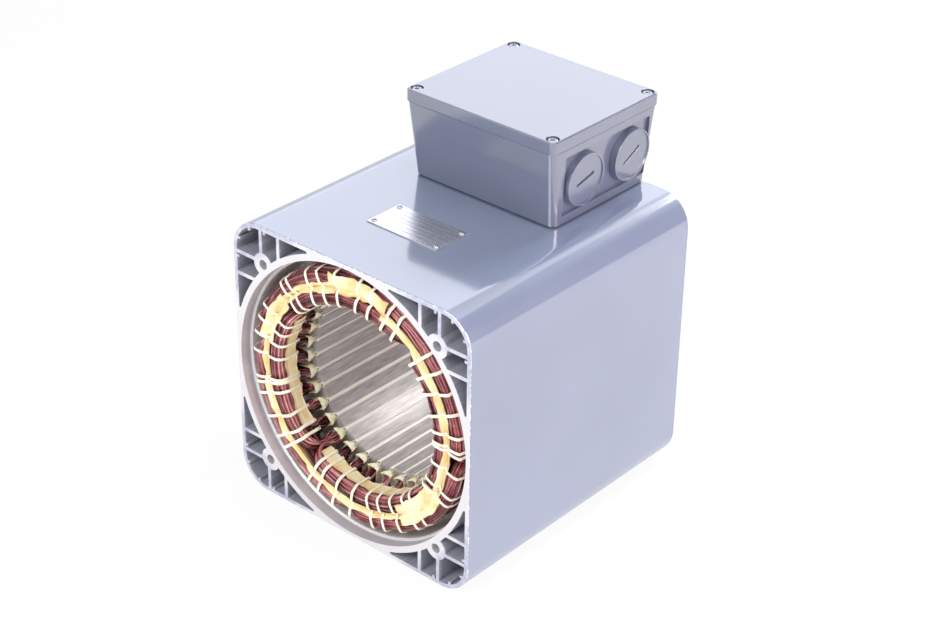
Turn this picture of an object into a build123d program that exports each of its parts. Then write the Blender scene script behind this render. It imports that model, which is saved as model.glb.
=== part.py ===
from build123d import *
import os
from math import ceil, cos, pi, radians, sin, sqrt

# Stator of a square-framed electric motor, lying on its flat base with the shaft axis along Y.
# Lengths are in millimetres. The open front end faces -Y, +Z is up, and the origin is the
# middle of the base. Angles run anticlockwise from +X, seen from the front.

# General clearances
cut_overrun = 1.0
seat_gap = 0.1
wrap_gap = 0.3

# Housing: one hollow aluminium extrusion, cut to length and bored
housing_width = 200.0
housing_length = 213.0
corner_radius = 22.5
wall = 3.0
ring_swell = 1.5
ring_wall = 6.0
register_step = 1.5
register_depth = 8.0
shoulder_chamfer = 1.0
lug_standoff = 2.2
lug_radius = 8.0
tap_radius = 3.4
web = 2.6
lug_web_shift = 1.7
web_spacing = 15.5
cell_tip_radius = 0.8
nib_width = 1.8
nib_height = 2.0
corner_nib_shift = 7.5
web_nib_spacing = 3.4

# Core: a stack of slotted laminations, shrunk into the housing
slot_count = 36
slot_phase = 3.1
core_front_depth = 35.3
core_length = 135.0
yoke = 15.4
slot_depth = 17.5
slot_opening = 2.6
tooth_tip = 0.8
slot_shoulder = 1.9
tooth_pitch_share = 0.587

# Slot insulation
liner = 0.4
cuff_reach = 6.0
closing_strip = 1.0
strip_reach = 4.0

# End windings: heights are measured out from the core's end face
pole_count = 4
winding_inner_gap = 3.0
winding_outer_gap = 5.5
winding_height = 31.3
tier_height = 15.0
inner_tier_width = 11.8
paper = 0.8
lacing_width = 2.6
lacing_thickness = 0.8
crest_chamfer_share = 0.2
group_dive_share = 0.4
group_gap_angle = 4.0
inner_break_slot = 5
phase_step_slots = 3
inner_paper_teeth = ((14, 7), (23, 7))
inner_paper_height = 12.0

# Terminal box on the top face, near the rear
box_x = 4.4
box_y = 60.0
box_base_width = 116.4
box_base_depth = 94.0
box_top_width = 122.0
box_top_depth = 105.8
box_height = 52.4
box_corner = 5.0
box_wall = 4.0
box_floor = 4.0
gasket = 1.0
gasket_inset = 1.2
entry_shift = 2.8
entry_recess = 2.2
entry_recess_length = 84.4
entry_recess_height = 41.0
lid_width = 122.8
lid_depth = 106.6
lid_height = 8.8
lid_corner = 4.0
lid_edge_chamfer = 0.8
lid_wall = 4.0
screw_inset = 5.6
screw_recess_radius = 4.3
screw_recess_depth = 2.5
plug_spacing = 47.0
plug_radius = 17.8
plug_head = 5.0
plug_rim = 1.2
plug_dish = 1.0
plug_thread_radius = 15.8
plug_thread = 9.0
plug_slot_length = 17.0
plug_slot_width = 2.2
plug_slot_depth = 1.5
front_plug_turn = 15.0
rear_plug_turn = 29.0

# Nameplate on the top face, near the front
plate_x = -1.5
plate_y = -41.7
plate_width = 58.5
plate_depth = 30.0
plate_thickness = 0.8

# Planes, radii and angles that the pieces share
axis_height = housing_width / 2
shaft_plane = Plane((0, 0, axis_height), x_dir=(1, 0, 0), z_dir=(0, -1, 0))
front_plane = shaft_plane.offset(housing_length / 2)
rear_plane = shaft_plane.offset(-housing_length / 2)
core_front = front_plane.offset(-core_front_depth)
core_middle = core_front.offset(-core_length / 2)
ring_radius = housing_width / 2 + ring_swell
seat_radius = ring_radius - ring_wall
register_radius = seat_radius + register_step
core_radius = seat_radius - seat_gap
slot_bottom_radius = core_radius - yoke
bore_radius = slot_bottom_radius - slot_depth
slot_pitch_angle = 360 / slot_count
tooth_phase = slot_phase + slot_pitch_angle / 2
pole_angle = 360 / pole_count

# Places on the housing's outline, measured from the shaft axis
lug_offset = (ring_radius + lug_standoff) / sqrt(2)
lug_web_offset = lug_offset + lug_web_shift
ring_web_offset = lug_web_offset - web_spacing
web_nib_offset = lug_web_offset - web_nib_spacing
corner_centre = housing_width / 2 - corner_radius
corner_nib_offset = corner_centre + corner_nib_shift
corner_nib_root = corner_centre + sqrt((corner_radius - wall) ** 2 - corner_nib_shift ** 2)
inner_width = housing_width - 2 * wall
web_reach = housing_width / 2 - lug_offset

# Housing
with BuildSketch(front_plane) as cells:
    RectangleRounded(inner_width, inner_width, corner_radius - wall)
    Circle(ring_radius, mode=Mode.SUBTRACT)
    with GridLocations(2 * lug_offset, 2 * lug_offset, 2, 2):
        Circle(lug_radius, mode=Mode.SUBTRACT)
    for web_offset in (lug_web_offset, ring_web_offset):
        with GridLocations(2 * web_offset, 2 * lug_offset + web_reach, 2, 2):
            Rectangle(web, web_reach, mode=Mode.SUBTRACT)
        with GridLocations(2 * lug_offset + web_reach, 2 * web_offset, 2, 2):
            Rectangle(web_reach, web, mode=Mode.SUBTRACT)
    # The narrow ends of the cells beside the flats are rounded
    tips = [v for v in cells.vertices() if min(abs(v.X), abs(v.Y)) < lug_offset / 2]
    fillet(tips, cell_tip_radius)
    # Small ribs run along the inside of the outer wall
    nib_roots = ((corner_nib_offset, corner_nib_root), (web_nib_offset, inner_width / 2))
    for along_wall, root in nib_roots:
        with GridLocations(2 * along_wall, 2 * root, 2, 2):
            Rectangle(nib_width, 2 * nib_height, mode=Mode.SUBTRACT)
        with GridLocations(2 * root, 2 * along_wall, 2, 2):
            Rectangle(2 * nib_height, nib_width, mode=Mode.SUBTRACT)

with BuildPart() as housing:
    with BuildSketch(front_plane):
        RectangleRounded(housing_width, housing_width, corner_radius)
        Circle(seat_radius, mode=Mode.SUBTRACT)
        # Each lug has a hole along it, which is tapped at both ends
        with GridLocations(2 * lug_offset, 2 * lug_offset, 2, 2):
            Circle(tap_radius, mode=Mode.SUBTRACT)
    extrude(amount=-housing_length)
    extrude(to_extrude=cells.sketch, amount=-housing_length, mode=Mode.SUBTRACT)
    # Each end is turned out to take an end shield's spigot
    for end_face, inwards in ((front_plane, -1), (rear_plane, 1)):
        with BuildSketch(end_face):
            Circle(register_radius)
        extrude(amount=inwards * register_depth, mode=Mode.SUBTRACT)
    circles = housing.edges().filter_by(GeomType.CIRCLE)
    shoulders = circles.filter_by(lambda e: abs(e.radius - seat_radius) < seat_gap)
    chamfer(shoulders, shoulder_chamfer)

# Slots: straight teeth of one width, with sloping tips that half close the slot
slot_tip_radius = bore_radius + tooth_tip
slot_top_radius = slot_tip_radius + slot_shoulder
tooth_width = tooth_pitch_share * 2 * pi * bore_radius / slot_count


def slot_half_width(radius, inset=0.0):
    """Half the slot's width between its parallel teeth at a radius, less an inset from each tooth."""
    return pi * radius / slot_count - tooth_width / 2 - inset


def shoulder_half_width(radius, inset=0.0):
    """Half the width between the sloping tooth tips at a radius, less an inset from each slope."""
    share_up = (radius - slot_tip_radius) / slot_shoulder
    widest = slot_half_width(slot_top_radius)
    return slot_opening / 2 + share_up * (widest - slot_opening / 2) - inset


def slot_trapezoid(low, high, half_low, half_high):
    """Corners of a slot-shaped outline between two radii."""
    return ((low, -half_low), (high, -half_high), (high, half_high), (low, half_low))


with BuildPart() as lamination_stack:
    with BuildSketch(core_front):
        Circle(core_radius)
        Circle(bore_radius, mode=Mode.SUBTRACT)
        slot_side = (
            (bore_radius - cut_overrun, slot_opening / 2),
            (slot_tip_radius, slot_opening / 2),
            (slot_top_radius, slot_half_width(slot_top_radius)),
            (slot_bottom_radius, slot_half_width(slot_bottom_radius)),
        )
        other_side = tuple((r, -half) for r, half in reversed(slot_side))
        with PolarLocations(0, slot_count, slot_phase):
            Polygon(*slot_side, *other_side, align=None, mode=Mode.SUBTRACT)
    extrude(amount=-core_length)

# Slot liners: a sheet folded into each slot, standing out of both ends as a cuff
liner_low = slot_top_radius
liner_high = slot_bottom_radius - seat_gap
fold = seat_gap + liner
with BuildPart() as slot_liners:
    with BuildSketch(core_front.offset(cuff_reach)):
        liner_outside = slot_trapezoid(
            liner_low, liner_high,
            slot_half_width(liner_low, seat_gap), slot_half_width(liner_high, seat_gap))
        liner_inside = slot_trapezoid(
            liner_low - cut_overrun, liner_high - liner,
            slot_half_width(liner_low - cut_overrun, fold), slot_half_width(liner_high - liner, fold))
        with PolarLocations(0, slot_count, slot_phase):
            Polygon(*liner_outside, align=None)
        with PolarLocations(0, slot_count, slot_phase):
            Polygon(*liner_inside, align=None, mode=Mode.SUBTRACT)
    extrude(amount=-(core_length + 2 * cuff_reach))

# Closing strips: flat strips slid in behind the tooth tips
strip_low = slot_tip_radius + seat_gap + wrap_gap
strip_high = strip_low + closing_strip
with BuildPart() as closing_strips:
    with BuildSketch(core_front.offset(strip_reach)):
        strip_outline = slot_trapezoid(
            strip_low, strip_high,
            shoulder_half_width(strip_low, wrap_gap), shoulder_half_width(strip_high, wrap_gap))
        with PolarLocations(0, slot_count, slot_phase):
            Polygon(*strip_outline, align=None)
    extrude(amount=-(core_length + 2 * strip_reach))

# Heights of the end windings above the core's end face, and their radii
tier_base = winding_height - tier_height
knuckle_height = tier_base - wrap_gap
lacing_gap = lacing_thickness + 2 * seat_gap
back_tier_base = cuff_reach + wrap_gap
back_tier_top = tier_base - lacing_gap - wrap_gap
winding_inner_radius = bore_radius + winding_inner_gap
winding_outer_radius = seat_radius - winding_outer_gap
inner_tier_outer_radius = winding_inner_radius + inner_tier_width
paper_inner_radius = inner_tier_outer_radius + wrap_gap
paper_outer_radius = paper_inner_radius + paper
outer_tier_inner_radius = paper_outer_radius + wrap_gap

# Coil sides: the bundle of wires that fills each slot and runs on to the end windings
coil_low = liner_low + seat_gap
coil_high = liner_high - liner - seat_gap
coil_inset = fold + seat_gap
back_tier_inner_radius = coil_high + wrap_gap
with BuildPart() as coil_sides:
    with BuildSketch(core_front.offset(knuckle_height)):
        coil_outline = slot_trapezoid(
            coil_low, coil_high,
            slot_half_width(coil_low, coil_inset), slot_half_width(coil_high, coil_inset))
        with PolarLocations(0, slot_count, slot_phase):
            Polygon(*coil_outline, align=None)
    extrude(amount=-(core_length + 2 * knuckle_height))


def flat_point(radius, angle):
    """The point at an angle on a ring of flats round the shaft, one over each tooth, at a radius."""
    past_slot = (angle - slot_phase) % slot_pitch_angle
    reach = radius / cos(radians(past_slot - slot_pitch_angle / 2))
    return (reach * cos(radians(angle)), reach * sin(radians(angle)))


def bent_bar(start, span, low_radius, high_radius):
    """Outline of a bar laid round the shaft: straight over each tooth, bent at each slot."""
    first_slot = ceil((start - slot_phase) / slot_pitch_angle)
    bends = [slot_phase + (first_slot + n) * slot_pitch_angle for n in range(slot_count)]
    angles = [start, *(bend for bend in bends if start < bend < start + span), start + span]
    outside = [flat_point(high_radius, angle) for angle in angles]
    inside = [flat_point(low_radius, angle) for angle in reversed(angles)]
    return outside + inside


def runs_outwards(edge):
    """Whether an edge points away from the shaft axis."""
    away = Vector(edge.center().X, 0, edge.center().Z - axis_height)
    return abs(away.normalized().dot(edge.tangent_at(0.5))) > cos(radians(slot_pitch_angle))


def coil_groups(break_angle, low_radius, high_radius, low, high):
    """One phase's coil groups at the front: over each pole a bundle of wires, which dives at its ends."""
    with BuildPart() as groups:
        with BuildSketch(core_front.offset(low)):
            start = break_angle + group_gap_angle / 2
            with PolarLocations(0, pole_count):
                Polygon(*bent_bar(start, pole_angle - group_gap_angle, low_radius, high_radius), align=None)
        extrude(amount=high - low)
        crest = groups.faces().filter_by(Axis.Y).group_by(Axis.Y)[0]
        chamfer(crest.edges().filter_by(runs_outwards), group_dive_share * (high - low))
        crest = groups.faces().filter_by(Axis.Y).group_by(Axis.Y)[0]
        along = crest.edges().filter_by(lambda edge: not runs_outwards(edge))
        chamfer(along, crest_chamfer_share * (high - low))
    return groups.part


# The windings at the front: inner and outer tiers side by side, with the back tier behind them
inner_break = slot_phase + inner_break_slot * slot_pitch_angle
outer_break = inner_break + phase_step_slots * slot_pitch_angle
back_break = outer_break + phase_step_slots * slot_pitch_angle
inner_tier = coil_groups(inner_break, winding_inner_radius, inner_tier_outer_radius, tier_base, winding_height)
outer_tier = coil_groups(outer_break, outer_tier_inner_radius, winding_outer_radius, tier_base, winding_height)
back_tier = coil_groups(back_break, back_tier_inner_radius, winding_outer_radius, back_tier_base, back_tier_top)

# Phase paper: a strip stood on edge between the inner and outer tiers
with BuildPart() as phase_paper:
    with BuildSketch(core_front.offset(tier_base)):
        RegularPolygon(paper_outer_radius, slot_count, major_radius=False, rotation=slot_phase)
        RegularPolygon(
            paper_inner_radius, slot_count, major_radius=False, rotation=slot_phase, mode=Mode.SUBTRACT)
    extrude(amount=tier_height)

# Inner papers: strips laid on the bore side of the inner tier, under the lacing
inner_paper_radius = winding_inner_radius - seat_gap - paper
inner_paper_top = winding_height - crest_chamfer_share * tier_height
with BuildPart() as inner_papers:
    with BuildSketch(core_front.offset(inner_paper_top)):
        for first_tooth, pitches in inner_paper_teeth:
            start = tooth_phase + first_tooth * slot_pitch_angle
            span = pitches * slot_pitch_angle
            Polygon(*bent_bar(start, span, inner_paper_radius, inner_paper_radius + paper), align=None)
    extrude(amount=-inner_paper_height)

# Lacing: flat cord looped round both tiers and the inner papers, once over every tooth
lacing_low = inner_paper_radius - seat_gap
lacing_high = winding_outer_radius + seat_gap
lacing_height = tier_height + 2 * seat_gap
with BuildPart() as lacing:
    with BuildSketch(core_front.offset(tier_base - seat_gap - lacing_thickness)):
        with PolarLocations((lacing_low + lacing_high) / 2, slot_count, tooth_phase):
            Rectangle(lacing_high - lacing_low + 2 * lacing_thickness, lacing_width)
    extrude(amount=lacing_height + 2 * lacing_thickness)
    with BuildSketch(core_front.offset(tier_base - seat_gap)):
        with PolarLocations((lacing_low + lacing_high) / 2, slot_count, tooth_phase):
            Rectangle(lacing_high - lacing_low, lacing_width + 2 * cut_overrun)
    extrude(amount=lacing_height, mode=Mode.SUBTRACT)

# Terminal box: a tapered casting with a lid, on a flat gasket
box_foot = housing_width + gasket
box_top = box_foot + box_height
gasket_plane = Plane((box_x, box_y, housing_width))
foot_plane = Plane((box_x, box_y, box_foot))
rim_plane = Plane((box_x, box_y, box_top))
side_lean = (box_top_width - box_base_width) / 2
entry_height = box_height / 2
entry_wall_x = box_x + (box_base_width + side_lean) / 2
entry_normal = Vector(box_height, 0, -side_lean).normalized()
entry_middle = (entry_wall_x, box_y + entry_shift, box_foot + entry_height)
entry_face = Plane(entry_middle, x_dir=(0, 1, 0), z_dir=entry_normal)
entry_seat = entry_face.offset(-entry_recess)
hollow_wall = box_wall + entry_recess
hollow_corner = box_corner - box_wall / 2

with BuildPart() as terminal_box_gasket:
    with BuildSketch(gasket_plane):
        RectangleRounded(
            box_base_width - 2 * gasket_inset, box_base_depth - 2 * gasket_inset, box_corner - gasket_inset)
    extrude(amount=gasket)

with BuildPart() as terminal_box:
    with BuildSketch(foot_plane):
        RectangleRounded(box_base_width, box_base_depth, box_corner)
    with BuildSketch(rim_plane):
        RectangleRounded(box_top_width, box_top_depth, box_corner)
    loft(ruled=True)
    # The side with the cable entries is set back between the corner posts
    with BuildSketch(entry_seat):
        Rectangle(entry_recess_length, entry_recess_height)
    extrude(amount=entry_recess + cut_overrun, mode=Mode.SUBTRACT)
    # The inside follows the outside
    with BuildSketch(foot_plane.offset(box_floor)):
        RectangleRounded(box_base_width - 2 * hollow_wall, box_base_depth - 2 * hollow_wall, hollow_corner)
    with BuildSketch(rim_plane.offset(cut_overrun)):
        RectangleRounded(box_top_width - 2 * hollow_wall, box_top_depth - 2 * hollow_wall, hollow_corner)
    loft(ruled=True, mode=Mode.SUBTRACT)
    # Two threaded cable entries
    with BuildSketch(entry_seat):
        with GridLocations(plug_spacing, 0, 2, 1):
            Circle(plug_thread_radius + seat_gap)
    extrude(amount=-(hollow_wall + cut_overrun), mode=Mode.SUBTRACT)

with BuildPart() as terminal_box_lid:
    with BuildSketch(rim_plane):
        RectangleRounded(lid_width, lid_depth, lid_corner)
    extrude(amount=lid_height)
    chamfer(terminal_box_lid.faces().sort_by(Axis.Z)[-1].edges(), lid_edge_chamfer)
    with BuildSketch(rim_plane):
        RectangleRounded(box_top_width - 2 * hollow_wall, box_top_depth - 2 * hollow_wall, hollow_corner)
    extrude(amount=lid_height - lid_wall, mode=Mode.SUBTRACT)
    with BuildSketch(rim_plane.offset(lid_height)):
        with GridLocations(lid_width - 2 * screw_inset, lid_depth - 2 * screw_inset, 2, 2):
            Circle(screw_recess_radius)
    extrude(amount=-screw_recess_depth, mode=Mode.SUBTRACT)


def blanking_plug(along, turn):
    """Round threaded plug with a dished head, whose slot is turned up towards the rear."""
    seat = Plane(
        entry_seat.origin + entry_seat.x_dir * along, x_dir=entry_seat.x_dir, z_dir=entry_seat.z_dir)
    with BuildPart() as plug:
        with BuildSketch(seat):
            Circle(plug_radius)
        extrude(amount=plug_head)
        with BuildSketch(seat):
            Circle(plug_thread_radius)
        extrude(amount=-plug_thread)
        with BuildSketch(seat.offset(plug_head)):
            Circle(plug_radius - plug_rim)
        extrude(amount=-plug_dish, mode=Mode.SUBTRACT)
        with BuildSketch(seat.offset(plug_head - plug_dish)):
            Rectangle(plug_slot_length, plug_slot_width, rotation=turn)
        extrude(amount=-plug_slot_depth, mode=Mode.SUBTRACT)
    return plug.part


with BuildPart() as nameplate:
    with BuildSketch(Plane((plate_x, plate_y, housing_width))):
        Rectangle(plate_width, plate_depth)
    extrude(amount=plate_thickness)

# Every piece under its own name
pieces = {
    "housing": housing.part,
    "lamination_stack": lamination_stack.part,
    "slot_liners": slot_liners.part,
    "closing_strips": closing_strips.part,
    "coil_sides": coil_sides.part,
    "terminal_box_gasket": terminal_box_gasket.part,
    "terminal_box": terminal_box.part,
    "terminal_box_lid": terminal_box_lid.part,
    "blanking_plug_front": blanking_plug(-plug_spacing / 2, front_plug_turn),
    "blanking_plug_rear": blanking_plug(plug_spacing / 2, rear_plug_turn),
    "nameplate": nameplate.part,
}
end_pieces = {
    "winding_inner_tier": inner_tier,
    "winding_outer_tier": outer_tier,
    "winding_back_tier": back_tier,
    "phase_paper": phase_paper.part,
    "inner_papers": inner_papers.part,
    "lacing": lacing.part,
}
# The rear end mirrors the front end about the middle of the core
for name, piece in end_pieces.items():
    with BuildPart() as rear_piece:
        mirror(piece, about=core_middle)
    pieces["front_" + name] = piece
    pieces["rear_" + name] = rear_piece.part

os.makedirs("parts", exist_ok=True)
for name, piece in pieces.items():
    piece.label = name
    export_step(piece, "parts/" + name + ".step")
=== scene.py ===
# %% [markdown]
# Stator of a square-framed electric motor
#
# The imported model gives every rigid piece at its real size. This lesson dresses it: paint on the
# housing and the terminal box, turned metal on the open end, and real wires, paper and cord on
# the end windings. Lengths are written in millimetres and turned to metres by one value.

# %% Load the frame
from math import cos, pi, radians, sin

import bmesh
import bpy
import numpy as np
from mathutils import Matrix, Vector


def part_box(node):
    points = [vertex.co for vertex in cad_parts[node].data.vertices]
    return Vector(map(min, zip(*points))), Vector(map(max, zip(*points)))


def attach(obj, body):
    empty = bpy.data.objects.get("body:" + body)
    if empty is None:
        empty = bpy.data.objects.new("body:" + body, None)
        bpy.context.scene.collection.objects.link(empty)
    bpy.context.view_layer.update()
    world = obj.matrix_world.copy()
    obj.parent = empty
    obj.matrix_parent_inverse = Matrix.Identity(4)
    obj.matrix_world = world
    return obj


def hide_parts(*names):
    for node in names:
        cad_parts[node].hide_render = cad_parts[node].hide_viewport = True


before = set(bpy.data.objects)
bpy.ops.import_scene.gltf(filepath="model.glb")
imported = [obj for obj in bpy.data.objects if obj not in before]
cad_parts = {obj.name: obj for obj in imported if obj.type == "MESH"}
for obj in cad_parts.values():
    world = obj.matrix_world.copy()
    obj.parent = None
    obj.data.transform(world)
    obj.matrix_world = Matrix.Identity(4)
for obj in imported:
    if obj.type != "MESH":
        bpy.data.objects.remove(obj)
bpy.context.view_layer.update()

mm = 0.001

# %% [markdown]
# Sizes that the pieces share come from the frame, so that wires and papers sit where the
# solids are. The shaft axis lies along Y at half the housing's height. Heights on the windings
# are measured out from the core's end face, and angles from +X, seen from the front.

# %% Shared sizes
housing_low, housing_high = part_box("housing")
core_low, core_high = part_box("lamination_stack")
inner_low, inner_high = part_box("front_winding_inner_tier")
outer_low, outer_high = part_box("front_winding_outer_tier")
paper_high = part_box("front_phase_paper")[1]
axis_z = (housing_low.z + housing_high.z) / 2
half_width = housing_high.x
core_front, core_rear = core_low.y, core_high.y
crest_height = core_front - inner_low.y
tier_base = core_front - inner_high.y
outer_radius = outer_high.x
paper_depth = 0.8 * mm
paper_radius = paper_high.x - paper_depth / 2
bore_radius = 62.5 * mm
inner_radius = bore_radius + 3.0 * mm
slot_count = 36
slot_pitch = 360 / slot_count
slot_phase = 3.1
tooth_phase = slot_phase + slot_pitch / 2
slot_angles = [slot_phase + slot * slot_pitch for slot in range(slot_count)]
print("winding heights in mm:", round(tier_base / mm, 1), "to", round(crest_height / mm, 1))

# %% [markdown]
# A few small helpers serve every finish. One turns an sRGB hex colour into the linear values that
# shaders use, one turns a size in millimetres into a texture's scale, and one adds a node with its
# settings and links. Most finishes start as a noise that runs through a few tones, because no real
# surface has one even colour.

# %% Colour and node helpers


def linear(hex_colour):
    """Linear RGBA of an sRGB hex colour such as #7C86A0."""
    channels = [int(hex_colour[i:i + 2], 16) / 255 for i in (1, 3, 5)]
    return [c / 12.92 if c <= 0.04045 else ((c + 0.055) / 1.055) ** 2.4 for c in channels] + [1.0]


def per_size(size_mm):
    """Texture scale at which one feature is about this long, for coordinates in metres."""
    return 1 / (size_mm * mm)


def add_node(tree, kind, inputs=None, **settings):
    """Add a shader node, set its properties, and set or link its inputs by name or number."""
    node = tree.nodes.new("ShaderNode" + kind)
    for key, value in settings.items():
        setattr(node, key, value)
    for key, value in (inputs or {}).items():
        if isinstance(value, bpy.types.NodeSocket):
            tree.links.new(value, node.inputs[key])
        else:
            node.inputs[key].default_value = value
    return node


def start_material(name, constants):
    """A material with one principled shader and its constants, and the position in metres."""
    material = bpy.data.materials.new(name)
    material.use_nodes = True
    tree = material.node_tree
    tree.nodes.clear()
    shader = add_node(tree, "BsdfPrincipled", constants)
    add_node(tree, "OutputMaterial", {"Surface": shader.outputs["BSDF"]})
    place = add_node(tree, "TexCoord").outputs["Object"]
    return material, tree, shader, place


def ramp_colours(ramp, stops):
    """Set a colour ramp's stops from (position, hex colour) pairs."""
    elements = ramp.color_ramp.elements
    while len(elements) < len(stops):
        elements.new(1.0)
    for element, (position, colour) in zip(elements, stops):
        element.position = position
        element.color = linear(colour)


def mottle(tree, shader, place, size_mm, detail, stops):
    """Colour a surface by a noise that runs through a few tones. Gives the noise's value."""
    noise = add_node(tree, "TexNoise", {"Vector": place, "Scale": per_size(size_mm), "Detail": detail})
    tone = add_node(tree, "ValToRGB", {"Fac": noise.outputs["Fac"]})
    ramp_colours(tone, stops)
    tree.links.new(tone.outputs["Color"], shader.inputs["Base Color"])
    return noise.outputs["Fac"]


print("half-bright grey is", round(linear("#808080")[0], 3), "in linear light")

# %% [markdown]
# Pieces need helpers too. Each piece rides on the one body and may stand in for nodes of the model.
# Pieces that repeat are built as parts, each with its corners and faces, and then joined into one
# mesh. Tubes, cords and turned shapes are all rings of corners with faces between them.

# %% Piece helpers
scene = bpy.context.scene


def add_object(name, data):
    """An object in the scene with this data."""
    thing = bpy.data.objects.new(name, data)
    scene.collection.objects.link(thing)
    return thing


def settle(piece, nodes=()):
    """Ride on the one body and replace nodes."""
    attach(piece, "root")
    if nodes:
        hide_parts(*nodes)
    print(piece.name, "triangles", sum(len(p.vertices) - 2 for p in piece.data.polygons))


def join_parts(parts):
    """Several sets of corners and faces as one."""
    verts, faces, base = [], [], 0
    for part_verts, part_faces in parts:
        verts.append(part_verts)
        faces += [tuple(i + base for i in face) for face in part_faces]
        base += len(part_verts)
    return np.concatenate(verts), faces


def ring_faces(rings, width, closed=False):
    """Faces between rings of corners. A chain that isn't closed gets a face at each end."""
    faces = []
    for ring in range(rings if closed else rings - 1):
        here, after = ring * width, (ring + 1) % rings * width
        for j in range(width):
            k = (j + 1) % width
            faces.append((here + j, here + k, after + k, after + j))
    if not closed:
        faces.append(tuple(range(width - 1, -1, -1)))
        faces.append(tuple(range((rings - 1) * width, rings * width)))
    return faces


def make_piece(name, parts, material, nodes=(), smooth=True, tones=None):
    """A mesh piece of joined parts that stands for the named nodes. Tones, which on the wires run from
    painted shade to painted highlight, are kept on its corners.
    """
    verts, faces = join_parts(parts)
    mesh = bpy.data.meshes.new(name)
    mesh.from_pydata([tuple(v) for v in verts], [], faces)
    mesh.materials.append(material)
    mesh.polygons.foreach_set("use_smooth", [smooth] * len(mesh.polygons))
    if tones is not None:
        mesh.attributes.new("wire_tone_with_painted_light", "FLOAT", "POINT").data.foreach_set("value", tones)
    settle(add_object(name, mesh), nodes)


# %% [markdown]
# The camera stands where the photograph was taken: in front, to the right and above. Its
# place was found by matching the housing's corners, so it is written as angles, a distance and
# the point it looks at.

# %% Camera
camera_azimuth = radians(40.595)
camera_elevation = radians(30.217)
camera_roll = radians(0.997)
camera_target = Vector((159.005, -172.683, 255.867)) * mm
camera_distance = 1123.595 * mm
camera_data = bpy.data.cameras.new("camera")
camera_data.sensor_width = 36.0
camera_data.lens = 81.005
camera_data.clip_start = 0.01
camera = add_object("camera", camera_data)
back = Vector((sin(camera_azimuth) * cos(camera_elevation),
               -cos(camera_azimuth) * cos(camera_elevation),
               sin(camera_elevation)))
level_right = Vector((cos(camera_azimuth), sin(camera_azimuth), 0))
level_up = back.cross(level_right)
right = cos(camera_roll) * level_right + sin(camera_roll) * level_up
up = cos(camera_roll) * level_up - sin(camera_roll) * level_right
turn = Matrix((right, up, back)).transposed().to_4x4()
camera.matrix_world = Matrix.Translation(camera_target + camera_distance * back) @ turn
scene.camera = camera
print("camera at mm:", [round(v / mm) for v in camera.matrix_world.translation])

# %% [markdown]
# The stage is a white studio. The world has two jobs in it: what the camera, a mirror or glass sees
# of it is plain white, and the light that it sends to the object is a pale grey. The Light Path node
# tells these rays apart. The Standard view shows colours as they are written.

# %% World
scene.view_settings.view_transform = "Standard"
ambient_level = 0.42


def seen_share(tree):
    """1 for rays that the camera, a mirror or glass sends, and 0 for rays that bring light."""
    rays = add_node(tree, "LightPath").outputs
    mirrored = add_node(tree, "Math", {0: rays["Is Camera Ray"], 1: rays["Is Glossy Ray"]},
                        operation="MAXIMUM")
    seen = add_node(tree, "Math", {0: mirrored.outputs[0], 1: rays["Is Transmission Ray"]},
                    operation="MAXIMUM")
    return seen.outputs[0]


world = bpy.data.worlds.new("white_studio")
scene.world = world
world.use_nodes = True
sky = world.node_tree
sky.nodes.clear()
plain = add_node(sky, "Background", {"Color": linear("#FFFFFF"), "Strength": 1.0})
ambient = add_node(sky, "Background", {"Color": linear("#F6F7FF"), "Strength": ambient_level})
sky_mix = add_node(sky, "MixShader",
                   {0: seen_share(sky), 1: ambient.outputs[0], 2: plain.outputs[0]})
add_node(sky, "OutputWorld", {"Surface": sky_mix.outputs[0]})
print("world:", world.name, "ambient level", ambient_level)

# %% [markdown]
# The floor is a matt white sweep. Most of what is seen of it is plain white, like the world, and the
# rest is its lit surface, which keeps a soft shadow under the housing.

# %% Floor
floor_reach = 6.0
floor_white_share = 0.9
square = ((-1, -1), (1, -1), (1, 1), (-1, 1))


def stage_panel(name, corners, material):
    """A flat panel of the stage."""
    mesh = bpy.data.meshes.new(name)
    mesh.from_pydata(corners, [], [(0, 1, 2, 3)])
    mesh.materials.append(material)
    return add_object(name, mesh)


floor_material = bpy.data.materials.new("matt_white_sweep")
floor_material.use_nodes = True
tree = floor_material.node_tree
tree.nodes.clear()
lit = add_node(tree, "BsdfDiffuse", {"Color": linear("#F7F7FA")})
white = add_node(tree, "Emission", {"Color": linear("#FFFFFF"), "Strength": 1.0})
white_share = add_node(tree, "Math", {0: seen_share(tree), 1: floor_white_share}, operation="MULTIPLY")
floor_mix = add_node(tree, "MixShader",
                     {0: white_share.outputs[0], 1: lit.outputs[0], 2: white.outputs[0]})
add_node(tree, "OutputMaterial", {"Surface": floor_mix.outputs[0]})
floor_corners = [(x * floor_reach, y * floor_reach, 0) for x, y in square]
floor = stage_panel("floor", floor_corners, floor_material)
print("floor reaches", floor_reach, "m each way")

# %% [markdown]
# Six soft lamps stand in for studio boxes. The one at the back left gives the sheen on the lid and
# the top, the right one lights the broad side, and those in front reach into the open end. A small
# lamp at the rear shines through the bore.

# %% Lamps


def soft_lamp(name, place, aim, size, power, colour="#FFFFFF"):
    """A rectangular soft lamp that faces a point, in metres and watts."""
    data = bpy.data.lights.new(name, "AREA")
    data.shape = "RECTANGLE"
    data.size, data.size_y = size
    data.energy = power
    data.color = linear(colour)[:3]
    lamp = add_object(name, data)
    lamp.location = place
    lamp.rotation_euler = (Vector(aim) - Vector(place)).to_track_quat("-Z", "Y").to_euler()


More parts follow.
